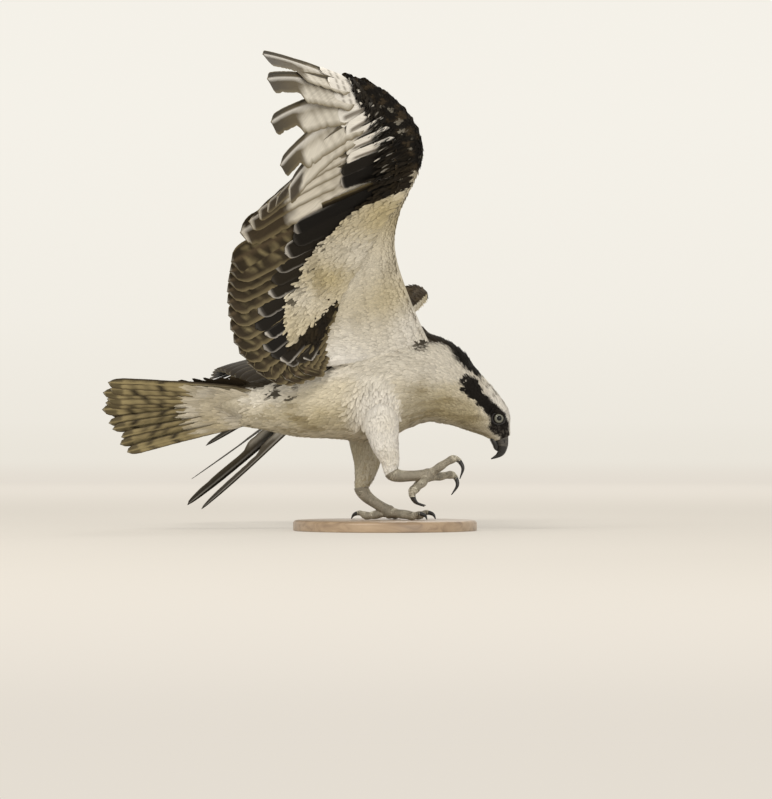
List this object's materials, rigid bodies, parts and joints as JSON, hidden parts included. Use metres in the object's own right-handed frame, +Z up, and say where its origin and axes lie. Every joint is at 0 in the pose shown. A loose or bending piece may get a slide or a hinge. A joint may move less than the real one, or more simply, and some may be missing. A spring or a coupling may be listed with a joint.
{
  "type": "osprey",
  "caption": "Life-size osprey landing on one foot, near wing raised, far wing drooped, other foot clutching, on a plain round base.",
  "frame": {"origin": "centre of the round base's underside", "axes": "+X forwards, the way the bird faces; +Y to the bird's left; +Z up"},
  "size_m": [0.5554, 0.9537, 0.6209],
  "materials": {
    "white_plumage": "soft matte feathers, off-white with olive-buff shading",
    "dark_plumage": "soft matte feathers, dark chocolate brown above, white linings below, barred flight feathers",
    "barred_plumage": "matte feathers, pale buff with dark bars",
    "scaly_skin": "matte grey scaly skin",
    "horn": "satin black horn",
    "eye": "wet pale yellow iris with a black pupil",
    "oak": "satin wood"
  },
  "bodies": {
    "root": {"torso": "white_plumage", "neck": "white_plumage", "head": "white_plumage", "bill_upper": "horn", "bill_lower": "horn", "eye_right": "eye", "eye_left": "eye", "right_wing_arm": "dark_plumage", "right_wing_hand": "dark_plumage", "left_wing_arm": "dark_plumage", "left_wing_hand": "dark_plumage", "tail": "barred_plumage", "stand_base": "oak", "right_thigh": "white_plumage", "right_shank": "scaly_skin", "right_foot": "scaly_skin", "right_claw_1": "horn", "right_claw_2": "horn", "right_claw_3": "horn", "right_claw_4": "horn", "left_thigh": "white_plumage", "left_shank": "scaly_skin", "left_foot": "scaly_skin", "left_claw_1": "horn", "left_claw_2": "horn", "left_claw_3": "horn", "left_claw_4": "horn"}
  },
  "joints": []
}
